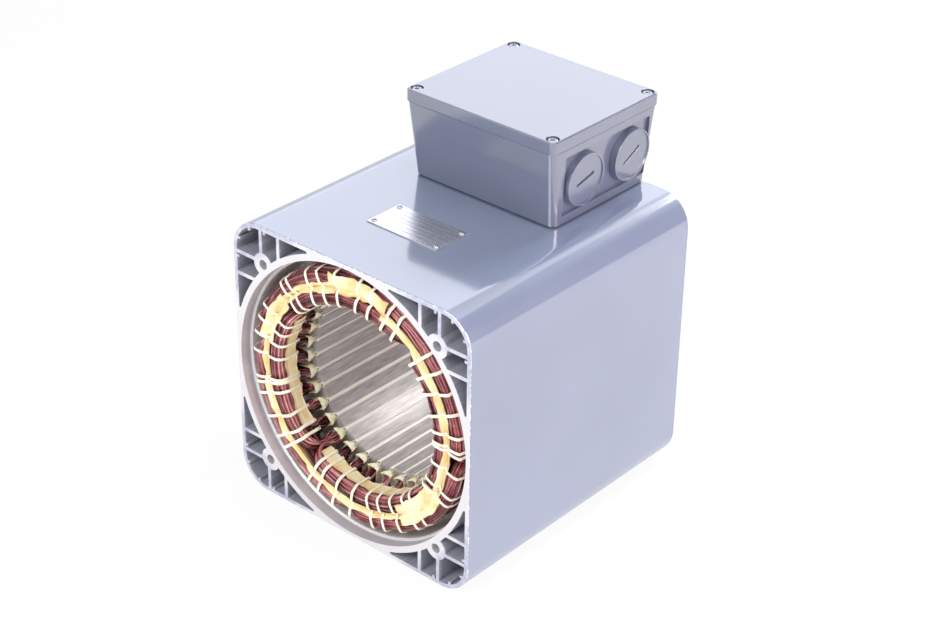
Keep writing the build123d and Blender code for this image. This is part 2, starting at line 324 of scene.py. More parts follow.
middle = (0, 0, axis_z)
soft_lamp("back_left_softbox", (-1.25, 1.45, 1.15), (0, 0.05, 0.2), (1.9, 1.1), 8.6, "#ECEFFF")
soft_lamp("right_softbox", (1.6, 0.15, 0.7), middle, (1.1, 1.0), 32, "#FFE9E3")
soft_lamp("overhead_softbox", (0.0, -0.2, 1.7), middle, (1.4, 1.4), 2.5)
soft_lamp("high_front_softbox", (0.05, -1.15, 1.15), (0, -0.05, axis_z), (0.8, 0.6), 10)
soft_lamp("low_front_lamp", (-0.12, -0.8, 0.13), (0, -0.1, axis_z), (0.5, 0.2), 1.9, "#FFFCF7")
soft_lamp("rear_bore_lamp", (0.1, 0.85, 0.68), (0, 0, 0.05), (0.25, 0.25), 7.0)

# %% [markdown]
# Glossy paint needs something darker to mirror, or its roundings look flat. In a studio that is a
# flag, a grey cloth on a stand. This one stands upright at the right rear, and the camera itself
# doesn't see it.

# %% Flag
flag_half_width, flag_half_height = 0.75, 1.0
felt_mm = 30
flag_material, tree, shader, place = start_material("grey_felt_flag", {"Roughness": 1.0})
mottle(tree, shader, place, felt_mm, 3.0, ((0.3, "#55555C"), (0.7, "#63636A")))
flag_corners = [(x * flag_half_width, 0, z * flag_half_height) for x, z in square]
flag = stage_panel("flag", flag_corners, flag_material)
flag.location = (0.8, 1.39, 1.1)
flag.rotation_euler = (0, 0, radians(-30))
flag.visible_camera = False
print("flag at m:", [round(v, 2) for v in flag.location])

# %% [markdown]
# Paint on the housing and the box is a stoved blue-grey enamel. It is smooth but not flat: spray
# leaves a fine orange peel. The clear coat's index is set well above a real one's 1.5, because that
# gives the strong sheen of the real paint. Along the sawn front edge the paint is chipped, and bare
# metal shows as white specks. The chips are a mask near the housing's ends, broken up by noise.

# %% Paint
housing_tones = ("#6D7A96", "#74819D")
# The box's tones are the housing's enamel made darker: painted shade on the box, its lid and its plugs.
box_tones_with_painted_shade = ("#545D76", "#5B647D")
chip_colour = "#F1F1F5"
cloud_mm, chip_mm = 90, 2.6
chip_band = 1.6 * mm
coat_index = 2.4


def chipped_colour(tree, place, colour):
    """A colour with bare specks in it near the sawn ends."""
    axes = add_node(tree, "SeparateXYZ", {"Vector": place})
    along = add_node(tree, "Math", {0: axes.outputs["Y"]}, operation="ABSOLUTE")
    near_end = add_node(tree, "MapRange",
                        {"Value": along.outputs[0], "From Min": housing_high.y - chip_band,
                         "From Max": housing_high.y})
    specks = add_node(tree, "TexNoise", {"Vector": place, "Scale": per_size(chip_mm), "Detail": 3.0})
    chipped = add_node(tree, "Math",
                       {0: near_end.outputs[0], 1: specks.outputs["Fac"]}, operation="MULTIPLY")
    edge = add_node(tree, "MapRange", {"Value": chipped.outputs[0], "From Min": 0.38, "From Max": 0.46})
    mix = add_node(tree, "Mix",
                   {"Factor": edge.outputs[0], "A": colour, "B": linear(chip_colour)}, data_type="RGBA")
    return mix.outputs["Result"]


def enamel_paint(name, tones, peel_mm, peel_depth, gloss_roughness, chips):
    """Stoved blue-grey enamel: orange peel of a given spacing, and chips along the sawn ends."""
    material, tree, shader, place = start_material(
        name, {"Coat Weight": 1.0, "Coat IOR": coat_index, "Coat Roughness": gloss_roughness})
    clouds = mottle(tree, shader, place, cloud_mm, 2.0, ((0.35, tones[0]), (0.65, tones[1])))
    base_colour = shader.inputs["Base Color"]
    if chips:
        tree.links.new(chipped_colour(tree, place, base_colour.links[0].from_socket), base_colour)
    peel = add_node(tree, "TexNoise", {"Vector": place, "Scale": per_size(peel_mm), "Detail": 1.5})
    bump = add_node(tree, "Bump",
                    {"Height": peel.outputs["Fac"], "Strength": 0.35, "Distance": peel_depth * mm})
    gloss = add_node(tree, "MapRange", {"Value": clouds, "To Min": 0.4, "To Max": 0.55})
    tree.links.new(bump.outputs["Normal"], shader.inputs["Normal"])
    tree.links.new(gloss.outputs[0], shader.inputs["Roughness"])
    tree.links.new(bump.outputs["Normal"], shader.inputs["Coat Normal"])
    return material


# On the extrusion the paint is smooth and mirrors the lamps. On the castings it is rougher, and its
# tones are darker than the housing's: painted shade on the box, its lid and its plugs.
housing_paint = enamel_paint("stoved_enamel_on_extrusion", housing_tones, 2.6, 0.03, 0.1, True)
box_paint_with_painted_shade = enamel_paint("stoved_enamel_on_casting_with_painted_shade", box_tones_with_painted_shade, 1.9, 0.1, 0.14, False)
print("paints:", housing_paint.name, box_paint_with_painted_shade.name)

# %% [markdown]
# The open end is bare aluminium. The ring and the lugs are turned on a lathe, so they are the
# brightest. Walls and webs outside the ring are only sawn, with a haze of paint. The haze is a mask
# too: the distance from the shaft axis, broken up by noise.

# %% Turned end face
ring_edge, haze_width = 102.5 * mm, 9 * mm
grain_mm = 5
end_face_metal, tree, shader, place = start_material("turned_aluminium_end_face", {"Metallic": 0.35})
axes = add_node(tree, "SeparateXYZ", {"Vector": place})
rise = add_node(tree, "Math", {0: axes.outputs["Z"], 1: axis_z}, operation="SUBTRACT")
flat = add_node(tree, "CombineXYZ", {"X": axes.outputs["X"], "Y": rise.outputs[0]})
reach = add_node(tree, "VectorMath", {0: flat.outputs[0]}, operation="LENGTH")
outside = add_node(tree, "MapRange",
                   {"Value": reach.outputs["Value"], "From Min": ring_edge,
                    "From Max": ring_edge + haze_width})
grain = add_node(tree, "TexNoise", {"Vector": place, "Scale": per_size(grain_mm), "Detail": 4.0})
haze = add_node(tree, "Math", {0: outside.outputs[0], 1: grain.outputs["Fac"]}, operation="MULTIPLY")
haze = add_node(tree, "MapRange", {"Value": haze.outputs[0], "From Min": 0.2, "From Max": 0.6})
tone = add_node(tree, "Mix",
                {"Factor": haze.outputs[0], "A": linear("#D8D7DB"), "B": linear("#AFB3C8")},
                data_type="RGBA")
tree.links.new(tone.outputs["Result"], shader.inputs["Base Color"])
wear = add_node(tree, "MapRange", {"Value": grain.outputs["Fac"], "To Min": 0.36, "To Max": 0.52})
tree.links.new(wear.outputs[0], shader.inputs["Roughness"])
print("end face:", end_face_metal.name)

# %% [markdown]
# Inside the cells the metal is as it left the die, dull and grey, streaked along its length. The
# core's seat is bored, and lighter. Both are one finish in other tones: a noise stretched along
# the shaft gives the streaks and a little relief.

# %% Extruded and bored metal
streak_mm = 2.2
streak_squeeze = (1.0, 0.06, 1.0)


def mill_aluminium(name, dark, light, roughness, metallic):
    """Aluminium as extruded or bored, with streaks along the shaft axis."""
    material, tree, shader, place = start_material(name, {"Metallic": metallic, "Roughness": roughness})
    stretch = add_node(tree, "Mapping", {"Vector": place, "Scale": streak_squeeze})
    streaks = mottle(tree, shader, stretch.outputs[0], streak_mm, 3.0, ((0.3, dark), (0.7, light)))
    bump = add_node(tree, "Bump", {"Height": streaks, "Strength": 0.25, "Distance": 0.05 * mm})
    tree.links.new(bump.outputs["Normal"], shader.inputs["Normal"])
    return material


# The cells are a quiet grey behind the bright end face, and the seat is a light ring round the core.
cell_metal = mill_aluminium("extruded_aluminium_cells", "#979AA5", "#AFB1BB", 0.55, 0.05)
seat_metal = mill_aluminium("bored_aluminium_seat", "#D8D2CE", "#F0ECE8", 0.42, 0.2)
print("metals:", cell_metal.name, seat_metal.name)

# %% [markdown]
# Electrical steel sheets make the core. The bore is ground over the sheets' edges, which leaves a
# grey-brown face with faint lines across the shaft. A sheet is half a millimetre thick, too fine
# to show here, so the lines are drawn three times as coarse.

# %% Core steel
sheet_lines_mm, grind_mm = 1.5, 1.6
core_steel, tree, shader, place = start_material(
    "electrical_steel_sheets", {"Metallic": 0.4, "Roughness": 0.4})
axes = add_node(tree, "SeparateXYZ", {"Vector": place})
sheets = add_node(tree, "Math",
                  {0: axes.outputs["Y"], 1: 2 * pi * per_size(sheet_lines_mm)}, operation="MULTIPLY")
sheets = add_node(tree, "Math", {0: sheets.outputs[0]}, operation="SINE")
stretch = add_node(tree, "Mapping", {"Vector": place, "Scale": (1.0, 0.12, 1.0)})
grind = mottle(tree, shader, stretch.outputs[0], grind_mm, 4.0, ((0.25, "#A39C9B"), (0.75, "#D2CDCD")))
bump = add_node(tree, "Bump", {"Height": sheets.outputs[0], "Strength": 0.1, "Distance": 0.03 * mm})
bump = add_node(tree, "Bump",
                {"Height": grind, "Strength": 0.2, "Distance": 0.05 * mm,
                 "Normal": bump.outputs["Normal"]})
tree.links.new(bump.outputs["Normal"], shader.inputs["Normal"])
print("core:", core_steel.name)

# %% [markdown]
# Winding wire is copper under a thin red-brown varnish enamel. Its colour runs from a near-black
# maroon, which is painted shade, through the enamel's red-brown to pale pinks, which are painted
# highlights.
# Varnish dries unevenly, so the tone drifts along a bundle, and no two wires beside each other are
# alike. A value kept on each wire's corners sets its tone.

# %% Enamelled wire
drift_mm = 7
own_tone_share = 0.6
wire_enamel_with_painted_light, tree, shader, place = start_material(
    "enamelled_copper_wire_with_painted_light", {"Metallic": 0.25, "Coat Weight": 0.4, "Coat Roughness": 0.12})
drift = add_node(tree, "TexNoise", {"Vector": place, "Scale": per_size(drift_mm), "Detail": 3.0})
own_tone_with_painted_light = add_node(tree, "Attribute", attribute_name="wire_tone_with_painted_light")
share = add_node(tree, "Mix",
                 {"Factor": own_tone_share, "A": drift.outputs["Fac"], "B": own_tone_with_painted_light.outputs["Fac"]},
                 data_type="FLOAT")
tone = add_node(tree, "ValToRGB", {"Fac": share.outputs["Result"]})
# The near-black stop is painted shade and the two pale pink stops are painted highlights. The red-brown
# stop is the enamel's own colour.
ramp_colours(tone, ((0.2, "#32090F"), (0.45, "#783036"), (0.7, "#BC6E72"), (0.9, "#E6B6B5")))
tree.links.new(tone.outputs["Color"], shader.inputs["Base Color"])
gloss = add_node(tree, "MapRange", {"Value": drift.outputs["Fac"], "To Min": 0.16, "To Max": 0.34})
tree.links.new(gloss.outputs[0], shader.inputs["Roughness"])
print("wire:", wire_enamel_with_painted_light.name)

# %% [markdown]
# Insulation is of four kinds: cream slot film, white closing film, yellow phase paper soaked in
# varnish, and flat woven lacing cord. All are matt, let a little light through at the edges, and
# are never one even colour.

# %% Film, paper and cord


def sheet_material(name, stops, patch_mm, fibre_mm, roughness):
    """Thin insulating sheet: patches of varnish and a fine fibre."""
    material, tree, shader, place = start_material(
        name, {"Roughness": roughness, "Subsurface Weight": 0.12,
               "Subsurface Radius": (0.8 * mm, 0.6 * mm, 0.3 * mm)})
    mottle(tree, shader, place, patch_mm, 4.0, stops)
    fibre = add_node(tree, "TexNoise", {"Vector": place, "Scale": per_size(fibre_mm), "Detail": 2.0})
    bump = add_node(tree, "Bump",
                    {"Height": fibre.outputs["Fac"], "Strength": 0.4, "Distance": 0.12 * mm})
    tree.links.new(bump.outputs["Normal"], shader.inputs["Normal"])
    return material


# Slot film gives a pale ring of cuffs, with some yellow where varnish has run into it.
slot_film = sheet_material(
    "cream_slot_film", ((0.3, "#F8E08C"), (0.45, "#FFF6D0"), (0.7, "#FFFFF6")), 4, 0.8, 0.5)
# Phase paper is the warmest tone of the winding, in patches a fingertip wide.
phase_paper = sheet_material(
    "varnished_phase_paper", ((0.28, "#E3C684"), (0.5, "#F4DFAC"), (0.75, "#FDEFCE")), 9, 1.1, 0.45)
# Closing film is nearly white, so the slots show as thin light lines along the bore.
strip_film = sheet_material(
    "white_closing_film", ((0.3, "#FFF8E8"), (0.6, "#FFFDF5"), (0.8, "#FFFFFF")), 12, 0.8, 0.45)
# Cord is light and rough against the dark wires.
lacing_cord = sheet_material(
    "woven_lacing_cord", ((0.3, "#F5E8C2"), (0.6, "#FFF9E8"), (0.8, "#FFFEF8")), 4, 0.6, 0.6)
print("insulation:", slot_film.name, phase_paper.name, strip_film.name, lacing_cord.name)

# %% [markdown]
# The last finishes are small: black rubber under the box, a rolled aluminium plate, and zinc on
# the screws and rivets. The plate's noise is stretched the way it was rolled.

# %% Rubber, plate and zinc
# Rubber is a dull black line under the box.
gasket_rubber, tree, shader, place = start_material("black_rubber", {"Roughness": 0.7})
mottle(tree, shader, place, 1.5, 3.0, ((0.3, "#17181C"), (0.7, "#25262B")))

# Rolled aluminium is a bright, streaked patch on the painted top.
plate_metal, tree, shader, place = start_material(
    "rolled_aluminium_plate", {"Metallic": 1.0, "Roughness": 0.24})
roll = add_node(tree, "Mapping", {"Vector": place, "Scale": (0.05, 1.0, 1.0)})
mottle(tree, shader, roll.outputs[0], 0.8, 3.0, ((0.3, "#B9BAC0"), (0.7, "#DCDDE2")))

# Zinc is a greyer, spotted metal that sets the small fasteners off.
zinc_steel, tree, shader, place = start_material(
    "zinc_plated_steel", {"Metallic": 1.0, "Roughness": 0.3})
mottle(tree, shader, place, 2, 3.0, ((0.3, "#8E8E96"), (0.7, "#B9B9C2")))
print("small finishes:", gasket_rubber.name, plate_metal.name, zinc_steel.name)

# %% [markdown]
# Some solids are right in form but too sharp: no sawn or cast edge is a knife's. They are copied, and
# the copy's edges are broken with a small bevel. Curves are then shaded smooth, corners are kept
# sharp, and a modifier evens the shading of the flats.

# %% Copies of solids
weld = 0.005 * mm
touch = 0.01 * mm


def copy_mesh(node):
    """A clean bmesh of a CAD node: faces that share corners, and flat parts as whole faces."""
    mesh = bmesh.new()
    mesh.from_mesh(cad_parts[node].data)
    bmesh.ops.remove_doubles(mesh, verts=mesh.verts, dist=weld)
    bmesh.ops.dissolve_limit(mesh, angle_limit=radians(0.5), verts=mesh.verts, edges=mesh.edges)
    return mesh


def break_edges(mesh, edges, size):
    """Bevel edges in two steps."""
    bmesh.ops.bevel(mesh, geom=edges, offset=size, segments=2, affect="EDGES", profile=0.5)


def finish_copy(mesh, name, materials, node, smooth_angle=35):
    """Turn an edited copy into a piece with smooth curves, sharp corners and even flats."""
    bmesh.ops.triangulate(mesh, faces=[face for face in mesh.faces if len(face.verts) > 4])
    mesh.normal_update()
    for face in mesh.faces:
        face.smooth = True
    for edge in mesh.edges:
        edge.smooth = edge.calc_face_angle(pi) < radians(smooth_angle)
    data = bpy.data.meshes.new(name)
    mesh.to_mesh(data)
    mesh.free()
    if "custom_normal" in data.attributes:
        data.attributes.remove(data.attributes["custom_normal"])
    for material in materials:
        data.materials.append(material)
    piece = add_object(name, data)
    even = piece.modifiers.new("even_flats", "WEIGHTED_NORMAL")
    even.keep_sharp = True
    even.weight = 100
    settle(piece, (node,))


print("solids that can be copied:", len(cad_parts))

# %% [markdown]
# The housing is one extrusion. Its outer edges are broken by less than a millimetre, which catches
# the light as a sawn and painted edge does. Each face of the copy takes its own finish by where it
# lies: paint outside, turned metal on the ends and in the register, then the seat and the cells.

# %% Housing
corner_radius, corner_skin = 22.5 * mm, 21.8 * mm
corner_centre = half_width - corner_radius
skin_depth = 0.4 * mm
register_inner, register_depth = 98.0 * mm, 9.5 * mm
seat_edge = 96.3 * mm
lug_offset, lug_reach = 73.33 * mm, 4 * mm
sawn_edge = 0.7 * mm
paint_face, turned_face, seat_face, cell_face = range(4)


def on_outside(point):
    """Whether a point is on the housing's painted outside."""
    across, upright = abs(point.x), abs(point.z - axis_z)
    if max(across, upright) > half_width - skin_depth:
        return True
    in_corner = min(across, upright) > corner_centre
    return in_corner and Vector((across - corner_centre, upright - corner_centre)).length > corner_skin


def in_lug(point):
    """Whether a point is in a lug's tapped hole."""
    return Vector((abs(point.x) - lug_offset, abs(point.z - axis_z) - lug_offset)).length < lug_reach


def housing_finish(face):
    """Number of the finish that a face of the housing takes."""
    middle = face.calc_center_median()
    reach = Vector((middle.x, middle.z - axis_z)).length
    if abs(face.normal.y) > 0.9 or in_lug(middle):
        return turned_face
    if on_outside(middle):
        return paint_face
    if reach < register_inner and abs(middle.y) > housing_high.y - register_depth:
        return turned_face
    return seat_face if reach < seat_edge else cell_face


housing_mesh = copy_mesh("housing")
outline = [
    edge for edge in housing_mesh.edges
    if all(abs(abs(v.co.y) - housing_high.y) < touch and on_outside(v.co) for v in edge.verts)
    and edge.calc_face_angle(0) > radians(60)
]
break_edges(housing_mesh, outline, sawn_edge)
housing_mesh.normal_update()
for face in housing_mesh.faces:
    face.material_index = housing_finish(face)
finish_copy(housing_mesh, "housing_extrusion", (housing_paint, end_face_metal, seat_metal, cell_metal),
            "housing", 20)

# %% [markdown]
# The core and the gasket keep their solids and only take a finish. The terminal box, its lid and
# its plugs are castings, and their edges are rounded by a few tenths of a millimetre wherever they
# turn enough. The lid's lower edge is broken more than that, which leaves a dark seam where it meets
# the box.

# %% Core, gasket and castings
rim_width = 3 * mm
for node, material in (("lamination_stack", core_steel), ("terminal_box_gasket", gasket_rubber)):
    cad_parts[node].data.materials.clear()
    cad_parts[node].data.materials.append(material)


def foot_rim(mesh, low, high):
    """Outer edges of a casting's foot."""

    def at_rim(point):
        inwards = min(point.x - low.x, high.x - point.x, point.y - low.y, high.y - point.y)
        return point.z < low.z + touch and inwards < rim_width

    return [edge for edge in mesh.edges
            if edge.calc_face_angle(0) > radians(60) and all(at_rim(v.co) for v in edge.verts)]


def cast_copy(node, name, edge_radius, least_turn=32, seam=0):
    """A casting with rounded edges. A seam breaks the outer edge of its foot."""
    mesh = copy_mesh(node)
    if seam:
        rim = foot_rim(mesh, *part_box(node))
        print(name, "seam edges", len(rim))
        break_edges(mesh, rim, seam)
    sharp = [edge for edge in mesh.edges
             if len(edge.link_faces) == 2 and edge.calc_face_angle(0) > radians(least_turn)]
    bmesh.ops.bevel(mesh, geom=sharp, offset=edge_radius, segments=2, affect="EDGES", profile=0.5,
                    clamp_overlap=True)
    finish_copy(mesh, name, (box_paint_with_painted_shade,), node)


cast_copy("terminal_box", "terminal_box_casting", 0.6 * mm)
cast_copy("terminal_box_lid", "terminal_box_lid_casting", 0.2 * mm, 60, 0.9 * mm)
cast_copy("blanking_plug_front", "front_plug", 0.35 * mm)
cast_copy("blanking_plug_rear", "rear_plug", 0.35 * mm)

# %% [markdown]
# End windings are hundreds of wires. A real coil group is wound on a former, dropped into its
# slots and then pressed and laced into a bundle, so the wires lie side by side. Only wires at the
# bundle's surface show, so only those are made, as thin tubes round a plain dark core. They are
# spread evenly round the bundle's outline, a rounded-off rectangle.

# %% Bundle outline and tubes
wire_radius = 0.64 * mm
section_power = 3.4


def section_points(count, half_across, half_high):
    """Evenly spaced points round a rounded-off rectangle, as offsets across and up."""
    squareness = 2 / section_power
    turn_angles = np.linspace(0, 2 * pi, 721)
    across = half_across * np.sign(np.cos(turn_angles)) * np.abs(np.cos(turn_angles)) ** squareness
    high = half_high * np.sign(np.sin(turn_angles)) * np.abs(np.sin(turn_angles)) ** squareness
    run = np.concatenate([[0], np.cumsum(np.hypot(np.diff(across), np.diff(high)))])
    stops = np.linspace(0, run[-1], count, endpoint=False)
    return np.interp(stops, run, across), np.interp(stops, run, high)


def to_space(radius, angle, height):
    """Points at the front end from radius, angle in degrees and height above the core's end face."""
    turn_angle = np.radians(angle)
    return np.stack([radius * np.cos(turn_angle), core_front - height,
                     axis_z + radius * np.sin(turn_angle)], -1)


def tubes(paths, outwards, radius, sides):
    """Closed tubes along paths of equal length, as one set of corners and faces."""
    count, steps = paths.shape[:2]
    along = np.gradient(paths, axis=1)
    along /= np.linalg.norm(along, axis=2, keepdims=True)
    first = outwards - (outwards * along).sum(2, keepdims=True) * along
    first /= np.linalg.norm(first, axis=2, keepdims=True)
    second = np.cross(along, first)
    spin = np.arange(sides) * 2 * pi / sides
    ring = np.cos(spin)[:, None] * first[:, :, None] + np.sin(spin)[:, None] * second[:, :, None]
    corners = paths[:, :, None] + radius * ring
    one_tube = ring_faces(steps, sides)
    return join_parts([(tube.reshape(-1, 3), one_tube) for tube in corners])


print("wires are", round(2 * wire_radius / mm, 2), "mm thick")

# %% [markdown]
# Each wire follows one path: up out of its slot, round a bend, along the arc over one pole, and down
# again at the far side. The path is a row of angles and heights, and all wires of a group are worked
# out at once, one row for each.

# %% Course of a wire
belt_slots = 3
pole_count = 4
pole_angle = 360 / pole_count
foot = 0.4 * mm
rise_steps, turn_steps, arc_steps = 5, 8, 34


def wire_course(start, stop, tier_radius, tier_height, bend):
    """Angles and heights along wires that rise at one angle and come down at another."""
    rise = np.linspace(0, 1, rise_steps)[:-1]
    turn_share = np.linspace(0, 1, turn_steps)[:-1]
    arc_share = np.linspace(0, 1, arc_steps)
    bend_angle = np.degrees(bend / tier_radius)
    up_height = foot + (tier_height - bend - foot)[:, None] * rise
    turn_height = (tier_height - bend)[:, None] + bend[:, None] * np.sin(turn_share * pi / 2)
    turn_in = bend_angle[:, None] * (1 - np.cos(turn_share * pi / 2))
    arc_start, arc_stop = start + bend_angle, stop - bend_angle
    arc = arc_start[:, None] + (arc_stop - arc_start)[:, None] * arc_share
    height = np.concatenate(
        [up_height, turn_height, np.repeat(tier_height[:, None], arc_steps, 1),
         turn_height[:, ::-1], up_height[:, ::-1]], 1)
    angle = np.concatenate(
        [np.repeat(start[:, None], len(rise), 1), start[:, None] + turn_in, arc,
         (stop[:, None] - turn_in)[:, ::-1], np.repeat(stop[:, None], len(rise), 1)], 1)
    return angle, height


print("points along a wire:", 2 * (rise_steps - 1) + 2 * (turn_steps - 1) + arc_steps)

# %% [markdown]
# No wire is laid like the next. Each one leaves its slot at its own depth, bends at its own height,
# strays sideways on its way to the bundle and sways along the arc, and the lacing pinches all of
# them at each tooth. The chances come from one generator with a fixed seed, so every run gives the
# same winding.

# %% Wires of a coil group
rng = np.random.default_rng(20)
sink_share, level_scatter = 0.12, 0.12
bend_least, bend_gain, bend_scatter = 4.5, 8.0, 0.6
bend_clearance = 2 * mm
slot_wire_low, slot_wire_span, slot_wire_scatter = 66.3, 12.0, 0.4
side_least, side_most = 0.3, 2.0
settle_from, settle_short = 3 * mm, 5 * mm
stray_least, stray_most, stray_power = -3.4, 3.6, 0.8
pinch_angle, pinch_share = 1.5, 0.05
sway_waves = ((9, 0.2), (17, 0.12), (29, 0.08))


def smooth_step(share):
    """A soft start and stop for a share between 0 and 1."""
    share = np.clip(share, 0, 1)
    return share * share * (3 - 2 * share)


def group_wires(break_angle, low_radius, high_radius, low, high, count):
    """Paths of one coil group's surface wires, as arrays of radius, angle and height."""
    mid_radius, mid_height = (low_radius + high_radius) / 2, (low + high) / 2
    across, up = section_points(
        count, (high_radius - low_radius) / 2 - wire_radius, (high - low) / 2 - wire_radius)
    depth = 1 - rng.uniform(0, sink_share, count)
    tier_radius = mid_radius + across * depth
    tier_height = mid_height + up * depth
    level = (tier_height - low) / (high - low)
    layer = 1 - level + rng.uniform(-level_scatter, level_scatter, count)
    coil = np.clip(np.floor(layer * belt_slots), 0, belt_slots - 1)
    bend = (bend_least + bend_gain * level + rng.uniform(-bend_scatter, bend_scatter, count)) * mm
    bend = np.minimum(bend, tier_height - bend_clearance)
    slot_share = (tier_radius - low_radius) / (high_radius - low_radius)
    slot_radius = (slot_wire_low + slot_wire_span * slot_share
                   + rng.uniform(-slot_wire_scatter, slot_wire_scatter, count)) * mm
    sideways = np.degrees(rng.uniform(side_least, side_most, count) * mm / slot_radius)
    start = break_angle + coil * slot_pitch + sideways
    stop = break_angle + pole_angle - coil * slot_pitch - sideways
    angle, height = wire_course(start, stop, tier_radius, tier_height, bend)
    settled = smooth_step((height - settle_from) / (tier_height[:, None] - settle_short))
    radius = slot_radius[:, None] + (tier_radius - slot_radius)[:, None] * settled
    knuckle = np.sin(np.clip(height / tier_base, 0, 1) * pi) ** stray_power
    away = np.where(np.arange(angle.shape[1]) < angle.shape[1] / 2, 1, -1)
    stray = rng.uniform(stray_least, stray_most, (count, 1)) * mm
    angle = angle + away * knuckle * np.degrees(stray / slot_radius[:, None])
    from_tooth = (angle - tooth_phase + slot_pitch / 2) % slot_pitch - slot_pitch / 2
    pinch = np.exp(-(from_tooth / pinch_angle) ** 2)
    radius = radius - (radius - mid_radius) * pinch_share * pinch * settled
    height = height - (height - mid_height) * pinch_share * pinch * settled
    sway = np.radians(angle - break_angle)
    for cycles, size in sway_waves:
        phase = rng.uniform(0, 2 * pi, (2, count, 1))
        radius = radius + size * mm * np.sin(cycles * sway + phase[0]) * settled
        height = height + size * mm * np.sin(cycles * sway + phase[1]) * settled
    return radius, angle, height


print("a coil group spans", pole_angle, "degrees from", belt_slots, "slots")

# %% [markdown]
# Inside its wires a bundle is a plain bar, so that no light falls through the gaps. It starts and
# ends short of the slots, where it is lower.

# %% Bundle cores
core_inset = 1.1 * mm
core_short = 12
core_rings, core_sides = 30, 20
tip_rings, tip_share = 3, 0.35


def bundle_core(break_angle, low_radius, high_radius, low, high):
    """The plain inside of a bundle, a little smaller than its wires' ring."""
    across, up = section_points(
        core_sides, (high_radius - low_radius) / 2 - core_inset, (high - low) / 2 - core_inset)
    angles = np.linspace(break_angle + core_short, break_angle + pole_angle - core_short, core_rings)
    radius = (low_radius + high_radius) / 2 + across[None, :]
    height = (low + high) / 2 + up[None, :]
    from_tip = np.minimum(np.arange(core_rings), np.arange(core_rings)[::-1])
    ends = np.minimum(1, from_tip / tip_rings + tip_share)[:, None]
    height = low + core_inset + (height - low - core_inset) * ends
    verts = to_space(radius + 0 * angles[:, None], angles[:, None] + 0 * radius, height)
    return verts.reshape(-1, 3), ring_faces(core_rings, core_sides)


print("a bundle's core spans", pole_angle - 2 * core_short, "degrees")

# %% [markdown]
# The winding has three phases, and each is one tier of four coil groups: an inner and an outer tier
# side by side, and a back tier behind the outer one. Each phase starts three slots after the last.
# Both ends are alike, so each end piece is made once for the front and mirrored about the middle of
# the core for the rear.

# %% Winding tiers
tube_sides = 5
groove_half, back_gap = 0.7 * mm, 1.7 * mm
inner_break_slot, phase_step_slots = 5, 3


def end_pieces(name, parts, material, node, smooth=True, tones=None):
    """A front piece and its mirror image at the rear, each in place of its node."""
    mirrored = [(verts * (1, -1, 1) + (0, core_front + core_rear, 0), [face[::-1] for face in faces])
                for verts, faces in parts]
    for end, end_parts in (("front_", parts), ("rear_", mirrored)):
        nodes = (end + node,) if node else ()
        make_piece(end + name, end_parts, material, nodes, smooth, tones)


def winding_tier(name, node, break_slot, box_low, box_high, low_radius, count):
    """One phase's four coil groups at both ends."""
    low, high = core_front - box_high.y, core_front - box_low.y
    high_radius = min(box_high.x, outer_radius) * cos(radians(slot_pitch / 2))
    parts, tones = [], []
    for pole in range(pole_count):
        break_angle = slot_phase + break_slot * slot_pitch + pole * pole_angle
        radius, angle, height = group_wires(break_angle, low_radius, high_radius, low, high, count)
        paths = to_space(radius, angle, height)
        outwards = np.stack([np.cos(np.radians(angle)), 0 * angle, np.sin(np.radians(angle))], -1)
        parts.append(tubes(paths, outwards, wire_radius, tube_sides))
        parts.append(bundle_core(break_angle, low_radius, high_radius, low, high))
        # Each wire takes a random tone, anywhere from painted shade to painted highlight.
        tones.append(np.repeat(rng.uniform(0, 1, count), len(parts[-2][0]) // count))
        # Cores take tone 0, the near-black end of the wire colour: painted shade between the wires.
        tones.append(np.zeros(len(parts[-1][0])))
    end_pieces(name, parts, wire_enamel_with_painted_light, node, True, np.concatenate(tones))


back_low, back_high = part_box("front_winding_back_tier")
winding_tier("inner_tier_wires", "winding_inner_tier", inner_break_slot,
             inner_low, inner_high, inner_radius, 36)
winding_tier("outer_tier_wires", "winding_outer_tier", inner_break_slot + phase_step_slots,
             outer_low, outer_high, paper_radius + groove_half, 36)
winding_tier("back_tier_wires", "winding_back_tier", inner_break_slot + 2 * phase_step_slots,
             back_low, back_high, paper_radius + back_gap, 24)

# %% [markdown]
# In the slots the wires are hidden, so a plain filler stands for them. It ends just outside the
# core, where the wires of the end windings take over. Points at a slot are given by how far out and
# how far aside they are, here and for the sheets that follow.

# %% Slot filler
filler_reach = 1.5 * mm
filler_section = ((65.8, -1.9), (79.0, -3.0), (79.0, 3.0), (65.8, 1.9))


def slot_point(angle, radius, side, y):
    """A point at a slot: out along its middle line, and to one side of it."""
    turn_angle = radians(angle)
    x = radius * cos(turn_angle) - side * sin(turn_angle)
    z = radius * sin(turn_angle) + side * cos(turn_angle)
    return (x, y, axis_z + z)


filler_parts = []
for angle in slot_angles:
    corners = [slot_point(angle, radius * mm, side * mm, y)
               for y in (core_front - filler_reach, core_rear + filler_reach)
               for radius, side in filler_section]
    filler_parts.append((np.array(corners), ring_faces(2, len(filler_section))))
# The filler has no tones on its corners, so it takes the same near-black end: painted shade at the slot
# ends.
make_piece("slot_wires", filler_parts, wire_enamel_with_painted_light, ("coil_sides",), False)

# %% [markdown]
# Film and paper are thin, but each sheet needs two sides and a rim to look right from everywhere.
# A sheet is drawn as a grid of points on its middle surface, and half its thickness is then added
# along the normal on each side.

# %% Thin sheets
sheet_thickness = 0.45 * mm
strip_thickness = 0.3 * mm
paper_thickness = 0.4 * mm


